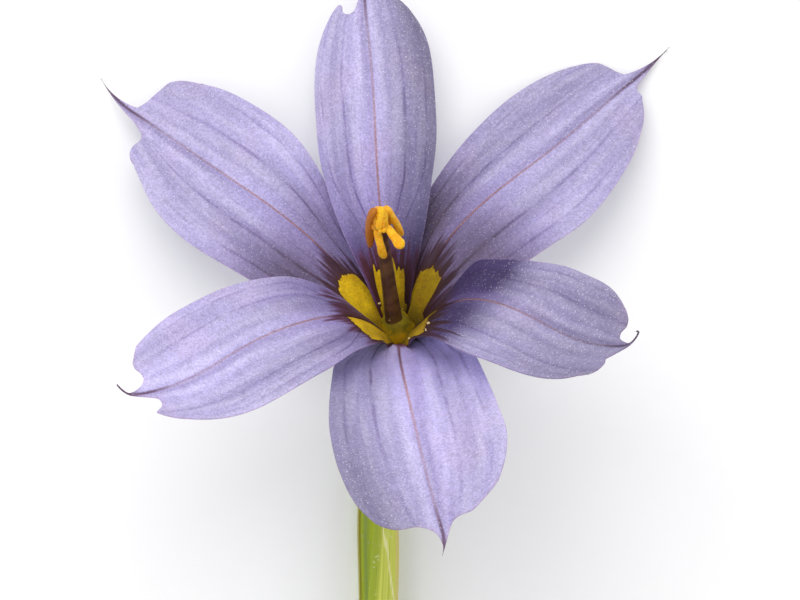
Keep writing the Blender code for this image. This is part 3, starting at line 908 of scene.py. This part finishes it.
class FLOWER_OT_column(bpy.types.Operator):
    """Builds the column of joined filaments and the throat round its foot"""

    bl_idname = "flower.column"
    bl_label = "Column"

    def execute(self, context):
        look = context.scene.centre_look
        column, level, angle = add_globe("column", 48, 64)
        heights, radii = np.array(COLUMN_PROFILE).T
        height = level * heights[-1]
        flutes = 1 + 0.07 * np.cos(3 * angle + 0.5) + 0.02 * np.cos(7 * angle + height)
        rounded = round_end(1 - level, 0.04) * round_end(level, 0.01)
        radius = np.interp(height, heights, radii) * flutes * rounded
        set_points(column, axis_point(np.degrees(angle), radius, height) + COLUMN_SHIFT * ACROSS)
        store(column.data, height=height)
        graph = Graph("column_brown")
        (rise,) = graph.attributes("height")
        where = graph.place()
        graph.color = graph.patches(graph.noise(where, 2.2, 3), look.column, look.column_light)
        graph.lay(graph.step(rise, 1.6, 0.2) * 0.5, look.throat)
        paint(column, graph.finish(0.45, 0.4, (graph.noise(where, 16.0), 0.4, 0.02)))
        finish_piece(column, "column_brown", "filament_column")

        throat, level, angle = add_globe("throat", 64, 36)
        stations, radii, heights = np.array(THROAT_PROFILE).T
        lobes = 1 + 0.05 * np.cos(6 * angle) + 0.1 * np.clip(np.cos(angle + math.pi / 2), 0, 1) ** 4
        radius = smooth(stations, radii, level) * lobes
        height = smooth(stations, heights, level) + 0.03 * np.sin(5 * angle + 1) * np.sin(level * math.pi)
        set_points(throat, axis_point(np.degrees(angle), radius, height))
        store(throat.data, radius=radius, height=height)
        graph = Graph("throat_olive")
        out, rise = graph.attributes("radius", "height")
        where = graph.place()
        tone = graph.noise(where, 2.5, 3)
        graph.color = graph.patches(tone, look.throat, look.throat_light, 0.4, 0.62)
        graph.lay(graph.step(out + 0.5 * (tone - 0.5), 0.5, 0.72), look.throat_rim)
        graph.lay(graph.step(rise, 0.1, -0.1), look.throat_outside)
        paint(throat, graph.finish(0.7, 0.2, (graph.noise(where, 8.0), 0.5, 0.05)))
        finish_piece(throat, "tepal_inner")
        return {"FINISHED"}


class FLOWER_OT_anthers(bpy.types.Operator):
    """Builds the six pollen sacs, the strips that join them, their hooks and their cap, as one piece"""

    bl_idname = "flower.anthers"
    bl_label = "Anthers"

    def execute(self, context):
        look = context.scene.centre_look
        parts = []
        for number, sac in enumerate(SACS):
            part, level, angle = add_globe(f"sac_{number}", 28, 36)
            groove = 1 - 0.16 * hump(angle, 0.3) - 0.12 * hump(np.abs(angle) - 1.9, 0.3)
            lumps = 1 + 0.07 * np.sin(level * 9 + number * 2) * np.cos(angle * 2)
            lumps = lumps + 0.03 * np.sin(level * 21 + angle * 3)
            swell = 0.68 + 0.24 * smooth_step(level, 0.05, 0.4) + 0.1 * smooth_step(level, 0.5, 0.85)
            radius = sac.radius * groove * lumps * swell * round_end(level, 0.2) * round_end(1 - level, 0.2)
            side = axis_point(sac.path[2][0], 1.0, 0.0) - FLOWER_BASE
            path = [axis_point(*place) for place in sac.path]
            set_points(part, tube_place(path, level, radius, angle, side, (0.85, 1.12)))
            parts.append((part, level, sac.tone))
        side = axis_point(HOOK_SIDE, 1.0, 0.0) - FLOWER_BASE
        for number, (*places, thickness) in enumerate(SAC_HOOKS):
            part, level, angle = add_globe(f"hook_{number}", 16, 20)
            radius = thickness * round_end(level, 0.2) * round_end(1 - level, 0.25)
            path = [axis_point(*place) for place in places]
            set_points(part, tube_place(path, level, radius, angle, side))
            parts.append((part, level, HOOK_PAINTED_LIGHT))
        cap, level, angle = add_globe("cap", 36, 24)
        ball = np.sin(level * math.pi)
        lumps = 1 + 0.16 * np.cos(3 * angle + 1) * ball + 0.08 * np.cos(5 * angle + level * 9)
        height = CAP_HEIGHT - CAP_HALF_LENGTH * np.cos(level * math.pi)
        set_points(cap, axis_point(np.degrees(angle), CAP_RADIUS * ball * lumps, height))
        parts.append((cap, level, CAP_PAINTED_LIGHT))
        for part, level, tone in parts:
            store(part.data, tone=np.full(len(level), tone))
        anthers = join_pieces("pollen_sacs", [part for part, _, _ in parts])

        graph = Graph("anther_orange")
        where = graph.place()
        (tone,) = graph.attributes("tone")
        # Painted light and shade: each part's tone mixes the sacs' shaded colours with their lit ones.
        dark = graph.mix(graph.noise(where, 6.0), look.anther_dark, look.anther_shade)
        light = graph.patches(graph.noise(where, 5.0, 3), look.anther, look.anther_light)
        grains = graph.cells(where, 24.0)
        graph.color = graph.shade(graph.mix(tone, dark, light), 0.88 + 0.24 * grains)
        folds = graph.noise(where, 7.0, 3)
        paint(anthers, graph.finish(0.55, 0.35, (grains, 0.35, 0.02), (folds, 0.6, 0.06)))
        finish_piece(anthers, "anther_orange", "anthers")
        return {"FINISHED"}


def landing(spot):
    """Where something dropped straight down over this spot comes to rest on the flower."""
    above = Vector((spot[0] * MM, spot[1] * MM, 0.05))
    heights = []
    for piece in bpy.context.scene.objects:
        if piece.name.endswith("_blade") or piece.name in ("pollen_sacs", "column", "throat"):
            hit, place, _, _ = piece.ray_cast(above, Vector((0, 0, -1)))
            if hit:
                heights.append(place.z / MM)
    if not heights:
        raise RuntimeError("no piece of the flower lies under this spot")
    return np.array([spot[0], spot[1], max(heights)])


def round_bead(name, centre, radius):
    select_only()
    bpy.ops.mesh.primitive_ico_sphere_add(subdivisions=2, radius=radius * MM, location=Vector(centre * MM))
    bead = take_active(name)
    bpy.ops.object.transform_apply(location=True, rotation=False, scale=False)
    return bead


class FLOWER_OT_pollen(bpy.types.Operator):
    """Builds the loose clumps of pollen on the eye and the anthers, some of them beads that are painted
    glints
    """

    bl_idname = "flower.pollen"
    bl_label = "Pollen"

    def execute(self, context):
        look = context.scene.centre_look
        bpy.context.view_layer.update()
        random = np.random.default_rng(7)
        beads = []
        for clump, (x, y, radius, grains) in enumerate(POLLEN_AND_GLINT_CLUMPS):
            for number in range(grains):
                size = radius * random.uniform(0.45, 0.75)
                spot = np.array([x, y, 0.0]) + FLOWER_BASE + np.append(random.normal(0, radius * 0.45, 2), 0)
                beads.append(round_bead(f"grain_{clump}_{number}", landing(spot) + (0, 0, size * 0.7), size))
        pollen = join_pieces("pollen", beads)
        graph = Graph("pollen_cream")
        where = graph.place()
        graph.color = graph.mix(graph.noise(where, 9.0), look.pollen, look.pollen_dark)
        paint(pollen, graph.finish(0.5, 0.5, (graph.noise(where, 20.0), 0.4, 0.02)))
        finish_piece(pollen, "anther_orange", angle=80)
        return {"FINISHED"}


# The ovary and stalk, the winged stem and the bracts.
STALK_TURN_RADIUS = 2.6
STALK_RADIUS = 0.23
STALK_HEIGHT = 1.2
OVARY_TOP = -0.5
OVARY_PROFILE = ((0, 0.55), (0.12, 0.82), (0.45, 0.9), (0.75, 0.62), (0.95, 0.32), (1.0, 0.26))
HAIR_COUNT = 420
HAIR_RADIUS = 0.011
STEM_X = -0.45
NODE_Y = -12.0
STEM_LENGTH = 10.7
STEM_WIDTH = 1.6
STEM_DEPTH = 0.8
STEM_BODY_SHARE = 0.62
WING_THICKNESS = 0.07
STEM_RINGS = 90
BRACT_THICKNESS = 0.2

# Each bract's outline is half widths at these shares of its length, and its middle line's offsets to the
# side. A curl is the turn of each half across, in degrees.
BRACT_STATIONS = (0, 0.2, 0.55, 0.76, 0.87, 0.95, 1)
Bract = namedtuple("Bract", "name offsets half_widths start_height height end_height length curl")
BRACTS = (
    Bract(
        "outer_bract", (0, -0.07, -0.07, -0.08, -0.06, 0, 0), (0.62, 0.7, 0.75, 0.79, 0.7, 0.42, 0.02),
        0.72, 0.42, 0.52, 15.6, 38,
    ),
    Bract(
        "inner_bract", (0, 0.1, 0.16, 0.3, 0.33, 0.34, 0.34), (0.52, 0.58, 0.57, 0.47, 0.33, 0.18, 0.02),
        1.75, 2.0, 2.15, 14.2, -32,
    ),
)


def stalk_path():
    """Centres from under the tepals back along the axis, round a turn, then level to the node."""
    centre = FLOWER_BASE + OVARY_TOP * AXIS - STALK_TURN_RADIUS * BACK
    curve = []
    for angle in np.linspace(0, 1, 9) * (math.pi / 2 - AXIS_TILT):
        curve.append(centre + STALK_TURN_RADIUS * (math.cos(angle) * BACK - math.sin(angle) * AXIS))
    start = curve[-1]
    way = np.array((STEM_X, NODE_Y, STALK_HEIGHT)) - start
    run = []
    for share in np.linspace(0, 1, 34)[1:]:
        run.append(start + way * (ease(share), share, ease(share)))
    return np.array(curve + run), (len(curve) - 1) / (len(curve) + len(run) - 1)


def ovary_lobes(angle):
    return 0.08 * np.cos(3 * angle + 0.4)


class FLOWER_OT_ovary(bpy.types.Operator):
    """Builds the three-lobed ovary with its short gland hairs, and the stalk under it"""

    bl_idname = "flower.ovary"
    bl_label = "Ovary and Stalk"

    def execute(self, context):
        look = context.scene.green_look
        path, ovary_share = stalk_path()
        body, level, angle = add_globe("ovary_body", 48, 150)
        share = level / ovary_share
        stations, radii = np.array(OVARY_PROFILE).T
        radius = np.interp(share, (*stations, 1.2), (*radii, STALK_RADIUS))
        radius = radius * (1 + ovary_lobes(angle) * smooth_step(share, 1.1, 0.6))
        radius = radius * np.where((level < 1e-6) | (level > 1 - 1e-6), 0, 1)
        set_points(body, tube_place(path, level, radius, angle, ACROSS))
        store(body.data, share=share, turn=angle)
        graph = Graph("ovary_green")
        down, turn = graph.attributes("share", "turn")
        where = graph.place()
        graph.color = graph.patches(graph.noise(where, 1.6, 3), look.ovary, look.ovary_light)
        graph.lay(graph.step(down, 0.35, 0.0) * 0.5, look.ovary_purple)
        furrow = graph.work_out("COSINE", turn * 3 + 0.4)
        graph.lay(graph.step(furrow, -0.4, -1.0) * 0.5, look.ovary_dark)
        ribs = graph.streaks(turn * 4, down * 0.6, 0.0, 2)
        paint(body, graph.finish(0.45, 0.4, (graph.noise(where, 14.0), 0.3, 0.02), (ribs, 0.4, 0.05)))
        hairs = self.make_hairs(path, ovary_share)
        graph = Graph("gland_hair")
        graph.color = graph.mix(*graph.attributes("tip"), look.hair, look.hair_tip)
        paint(hairs, graph.finish(0.35))
        finish_piece(join_pieces("ovary", [body, hairs]), "ovary_green", "ovary_and_stalk")
        return {"FINISHED"}

    def make_hairs(self, path, ovary_share):
        """Short hairs with round tips over the ovary, one modelled and the others copied from it."""
        random = np.random.default_rng(3)
        hair, level, angle = add_globe("hair", 6, 8)
        shape = HAIR_RADIUS * np.interp(level, (0, 0.1, 0.7, 0.85, 0.95, 1), (0, 1.0, 0.6, 1.7, 1.2, 0))
        rings = random.uniform(0.08, 0.92, HAIR_COUNT)
        turns = random.uniform(0, 2 * math.pi, HAIR_COUNT)
        radii = np.interp(rings, *np.array(OVARY_PROFILE).T) * (1 + ovary_lobes(turns))
        roots = tube_place(path, rings * ovary_share, radii, turns, ACROSS)
        tips = tube_place(path, rings * ovary_share, radii + 1, turns, ACROSS)
        outward = unit(tips - roots + random.normal(0, 0.25, (HAIR_COUNT, 3)))
        first = unit(np.cross(outward, (0.3, 0.2, 0.9)))
        second = np.cross(outward, first)
        length = random.uniform(0.12, 0.2, HAIR_COUNT)
        points = (
            roots[:, None]
            + (level[None] * length[:, None])[..., None] * outward[:, None]
            + (shape * np.cos(angle))[None, :, None] * first[:, None]
            + (shape * np.sin(angle))[None, :, None] * second[:, None]
        )
        faces = [tuple(face.vertices) for face in hair.data.polygons]
        starts = range(0, HAIR_COUNT * len(level), len(level))
        copies = [[start + corner for corner in face] for start in starts for face in faces]
        mesh = bpy.data.meshes.new("hairs")
        mesh.from_pydata((points.reshape(-1, 3) * MM).tolist(), [], copies)
        hair.data = mesh
        store(mesh, tip=np.tile(level > 0.7, HAIR_COUNT))
        return hair


def section_offsets(angle, half_width, half_depth):
    """The stem's section: an oval with a narrow wing at each side."""
    x = np.cos(angle)
    inside = np.clip(1 - (x / STEM_BODY_SHARE) ** 2, 0, 1) ** 0.6
    thick = WING_THICKNESS + (half_depth - WING_THICKNESS) * inside
    return half_width * x, thick * np.clip(np.sin(angle) * 3.5, -1, 1)


class FLOWER_OT_stem(bpy.types.Operator):
    """Builds the winged stem from its swollen node down to the cut end"""

    bl_idname = "flower.stem"
    bl_label = "Stem"

    def execute(self, context):
        look = context.scene.green_look
        stem, level, angle = add_globe("stem_body", 96, STEM_RINGS)
        run, caps = cut_ends(level, STEM_RINGS)
        swelling = (1 + 0.5 * np.clip(1 - run / 0.3, 0, None) ** 1.5) * (0.6 + 0.4 * round_end(run, 0.07))
        across, up = section_offsets(angle, STEM_WIDTH / 2, STEM_DEPTH / 2)
        ribs = 0.012 * np.cos(angle * 14) * np.sign(up) * (np.abs(across) < 0.5)
        closed = np.where(caps, 0, 1)
        x = STEM_X + across * swelling * closed
        y = NODE_Y - STEM_LENGTH * run
        middle = STALK_HEIGHT + (STEM_DEPTH / 2 - STALK_HEIGHT) * ease(run)
        set_points(stem, np.stack([x, y, middle + (up * swelling + ribs) * closed], -1))
        store(stem.data, side=across, run=run * STEM_LENGTH, cut=caps)
        graph = Graph("stem_green")
        side, down, cut = graph.attributes("side", "run", "cut")
        where = graph.place()
        streaks = graph.streaks(side * 14, down * 0.12, 0.0)
        graph.color = graph.patches(streaks, look.stem, look.stem_light)
        graph.lay(graph.step(graph.size(side), 0.52, 0.7) * 0.7, look.wing)
        graph.lay(graph.step(graph.size(side), 0.76, 0.8) * 0.7, look.bract_edge)
        graph.lay(graph.step(graph.cells(where, 9.0), 0.94, 1.0) * 0.6, look.speck)
        graph.lay(graph.step(cut, 0.02, 0.1), look.pith)
        paint(stem, graph.finish(0.45, 0.4, (graph.noise(where, 12.0), 0.3, 0.02), (streaks, 0.5, 0.05)))
        finish_piece(stem, "stem_green", "stem", angle=50)
        return {"FINISHED"}


class FLOWER_OT_bracts(bpy.types.Operator):
    """Builds the two thin striped bracts that sheath the stalk"""

    bl_idname = "flower.bracts"
    bl_label = "Bracts"

    def execute(self, context):
        look = context.scene.green_look
        for bract in BRACTS:
            blade, u, v = add_grid(bract.name + "_blade", 40, 110)
            half = smooth(BRACT_STATIONS, bract.half_widths, v)
            curl = math.radians(bract.curl) / max(bract.half_widths) * (1 + 0.9 * smooth_step(v, 0.12, 0))
            turned = curl * np.abs(u) * half
            x = STEM_X + smooth(BRACT_STATIONS, bract.offsets, v) + np.sin(turned) / curl * np.sign(u)
            y = NODE_Y - 0.25 + v * (bract.length + 0.85)
            z = bract.start_height + (bract.height - bract.start_height) * smooth_step(v, 0, 0.12)
            z = z + (bract.end_height - bract.height) * v + (1 - np.cos(turned)) / curl
            keel = 0.05 * hump(u, 0.16) * math.copysign(1, bract.curl)
            ribs = 0.008 * np.cos(u * 40)
            set_points(blade, np.stack([x, y, z - keel + ribs], -1))
            store(blade.data, span=u, run=v * bract.length)
            paint(blade, self.make_material(bract, look, "face"), self.make_material(bract, look, "back"))
            thicken(blade, BRACT_THICKNESS)
            finish_piece(blade, "bract_green", bract.name)
        return {"FINISHED"}

    def make_material(self, bract, look, face):
        graph = Graph(f"{bract.name}_{face}")
        span, run = graph.attributes("span", "run")
        where = graph.place()
        streaks = graph.streaks(span * 6, run * 0.08, 0.0)
        inner = bract.name == "inner_bract"
        if inner:
            graph.color = graph.patches(streaks, look.inner_bract, look.inner_bract_light, 0.38, 0.62)
            graph.lay(graph.step(span, -0.1, -0.7), look.bract_olive)
            graph.lay(graph.peak(span + (run - 9.75) * 0.34, 0.31, 0.13) * 0.85, look.inner_bract_pale)
        else:
            graph.color = graph.patches(streaks, look.bract, look.bract_light, 0.38, 0.62)
            graph.lay(graph.peak(span, -0.62, 0.24) * 0.8, look.bract_blue)
        fine = graph.streaks(span * 30, run * 0.3, 5.0, 2)
        graph.color = graph.shade(graph.color, 0.84 + 0.32 * fine)
        graph.lay(graph.step(graph.cells(where, 13.0), 0.955, 0.99) * 0.65, look.speck)
        if not inner:
            graph.lay(graph.step(span, -0.91, -0.96) * 0.8, look.bract_brown)
        graph.lay(graph.step(span, 0.74, 0.86) * 0.8, look.bract_edge)
        return graph.finish(0.45, 0.4, (graph.noise(where, 10.0), 0.3, 0.02), (streaks, 0.5, 0.04))


class CentreLook(bpy.types.PropertyGroup):
    """Colours of the column, the anthers and the pollen."""

    column: color_of("Column", "the column", 0.075, 0.032, 0.02)
    column_light: color_of("Light column", "the column's lighter areas", 0.155, 0.075, 0.032)
    throat: color_of("Throat", "the throat", 0.17, 0.13, 0.005)
    throat_light: color_of("Light throat", "the throat's lighter areas", 0.25, 0.19, 0.006)
    throat_rim: color_of("Throat rim", "the throat's rim", 0.50, 0.30, 0.003)
    throat_outside: color_of("Throat outside", "the throat below the tepals", 0.3, 0.33, 0.18)
    anther: color_of("Anther", "the sacs", 1.0, 0.44, 0.006)
    anther_light: color_of("Light anther", "the sacs' lighter areas", 1.0, 0.58, 0.015)
    # Painted shade: the colours of the sacs that lie in shade.
    anther_dark: color_of("Dark anther", "the shaded sacs", 0.33, 0.075, 0.002)
    anther_shade: color_of("Anther shade", "the shaded sacs' lighter areas", 0.47, 0.14, 0.003)
    pollen: color_of("Pollen", "the pollen", 0.85, 0.72, 0.42)
    pollen_dark: color_of("Dark pollen", "the pollen's darker areas", 0.65, 0.38, 0.10)


class GreenLook(bpy.types.PropertyGroup):
    """Colours of the ovary, the stem and the bracts."""

    ovary: color_of("Ovary", "the ovary", 0.12, 0.2, 0.035)
    ovary_light: color_of("Light ovary", "the ovary's lighter areas", 0.22, 0.31, 0.06)
    ovary_dark: color_of("Furrow", "the ovary's furrows", 0.07, 0.12, 0.02)
    ovary_purple: color_of("Ovary tinge", "the ovary's top", 0.12, 0.06, 0.07)
    hair: color_of("Hair", "the gland hairs", 0.4, 0.5, 0.2)
    hair_tip: color_of("Hair tip", "the hairs' round tips", 0.5, 0.35, 0.25)
    stem: color_of("Stem", "the stem", 0.17, 0.27, 0.04)
    stem_light: color_of("Light stem", "the stem's streaks", 0.31, 0.4, 0.07)
    wing: color_of("Wing", "the stem's wings", 0.36, 0.45, 0.12)
    speck: color_of("Speck", "the pale specks", 0.6, 0.66, 0.3)
    pith: color_of("Pith", "the cut end", 0.5, 0.55, 0.25)
    # The bracts are lighter than their own green: painted light that makes up for the shade the tepals cast.
    bract: color_of("Outer bract", "the outer bract", 0.49, 0.61, 0.05)
    bract_light: color_of("Light outer bract", "the outer bract's streaks", 0.62, 0.71, 0.055)
    inner_bract: color_of("Inner bract", "the inner bract", 0.47, 0.53, 0.055)
    inner_bract_light: color_of("Light inner bract", "the inner bract's streaks", 0.62, 0.65, 0.10)
    bract_blue: color_of("Dull bract", "the outer bract's dull stripe", 0.33, 0.46, 0.14)
    inner_bract_pale: color_of("Pale bract", "the inner bract's pale streak", 0.80, 0.78, 0.38)
    bract_olive: color_of("Olive bract", "the inner bract's left side", 0.33, 0.41, 0.02)
    bract_brown: color_of("Brown line", "the outer bract's brown line", 0.30, 0.24, 0.03)
    bract_edge: color_of("Bract edge", "the bracts' margins", 0.60, 0.50, 0.17)


class StageLook(bpy.types.PropertyGroup):
    """The floor, the lights and the camera."""

    floor: color_of("Floor", "the floor", 0.97, 0.97, 0.97)
    world: amount_of("Surround", "Strength of the even light", 0.85)
    key: amount_of("Key light", "Power of the key light in watts", 0.085)
    camera_height: length_of("Camera height", "Height of the camera over the flower's base", 200)


# The stage. The light and the camera are placed from the flower's base, and the floor's width is in metres.
FLOOR_WIDTH = 1.2
KEY_OFFSET = (-20, 75, 130)
KEY_WIDTH = 110
CAMERA_OFFSET = (0.12, 1.2)
CAMERA_LENS = 225
CAMERA_CLIP = 10


class FLOWER_OT_stage(bpy.types.Operator):
    """Sets the pale floor, the soft lights and the camera above the flower"""

    bl_idname = "flower.stage"
    bl_label = "Stage"

    def execute(self, context):
        scene = context.scene
        look = scene.stage_look
        select_only()
        bpy.ops.mesh.primitive_plane_add(size=FLOOR_WIDTH)
        floor = take_active("floor")
        graph = Graph("floor_paper")
        lighter = [min(1, 1.02 * each) for each in look.floor]
        graph.color = graph.mix(graph.noise(graph.place(), 1.5, 4), look.floor, lighter)
        paint(floor, graph.finish(0.9, 0.2))
        scene.world = bpy.data.worlds.new("surround")
        scene.world.use_nodes = True
        background = scene.world.node_tree.nodes["Background"]
        background.inputs["Color"].default_value = (1, 1, 1, 1)
        background.inputs["Strength"].default_value = look.world
        base = Vector(FLOWER_BASE * MM)
        offset = Vector(KEY_OFFSET) * MM
        bpy.ops.object.light_add(type="AREA", location=base + offset)
        key = take_active("key_light")
        key.data.shape = "DISK"
        key.data.size = KEY_WIDTH * MM
        key.data.energy = look.key
        key.rotation_euler = (-offset).to_track_quat("-Z", "Y").to_euler()
        bpy.ops.object.camera_add(location=base + Vector((*CAMERA_OFFSET, look.camera_height)) * MM)
        camera = take_active("camera")
        camera.rotation_euler = (0, 0, 0)
        camera.data.sensor_width = 36
        camera.data.lens = CAMERA_LENS
        camera.data.clip_start = CAMERA_CLIP * MM
        scene.camera = camera
        scene.view_settings.view_transform = "Standard"
        return {"FINISHED"}


class FLOWER_PT_panel(bpy.types.Panel):
    """Lists the flower's pieces"""

    bl_idname = "FLOWER_PT_panel"
    bl_label = "Blue-Eyed Grass Flower"
    bl_space_type = "VIEW_3D"
    bl_region_type = "UI"
    bl_category = "Flower"

    def draw(self, context):
        for operator in PIECES:
            self.layout.operator(operator.bl_idname)


GROUPS = {
    "tepal_look": TepalLook,
    "centre_look": CentreLook,
    "green_look": GreenLook,
    "stage_look": StageLook,
}
PIECES = (
    FLOWER_OT_tepals,
    FLOWER_OT_column,
    FLOWER_OT_anthers,
    FLOWER_OT_pollen,
    FLOWER_OT_ovary,
    FLOWER_OT_stem,
    FLOWER_OT_bracts,
    FLOWER_OT_stage,
)


def register():
    for group in GROUPS.values():
        bpy.utils.register_class(group)
    for key, group in GROUPS.items():
        setattr(bpy.types.Scene, key, bpy.props.PointerProperty(type=group))
    for operator in PIECES:
        bpy.utils.register_class(operator)
    bpy.utils.register_class(FLOWER_PT_panel)


def unregister():
    bpy.utils.unregister_class(FLOWER_PT_panel)
    for operator in reversed(PIECES):
        bpy.utils.unregister_class(operator)
    for key, group in GROUPS.items():
        delattr(bpy.types.Scene, key)
        bpy.utils.unregister_class(group)


def main():
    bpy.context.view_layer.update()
    register()
    bpy.ops.flower.tepals()
    bpy.ops.flower.column()
    bpy.ops.flower.anthers()
    bpy.ops.flower.pollen()
    bpy.ops.flower.ovary()
    bpy.ops.flower.stem()
    bpy.ops.flower.bracts()
    bpy.ops.flower.stage()


if __name__ == "__main__":
    main()
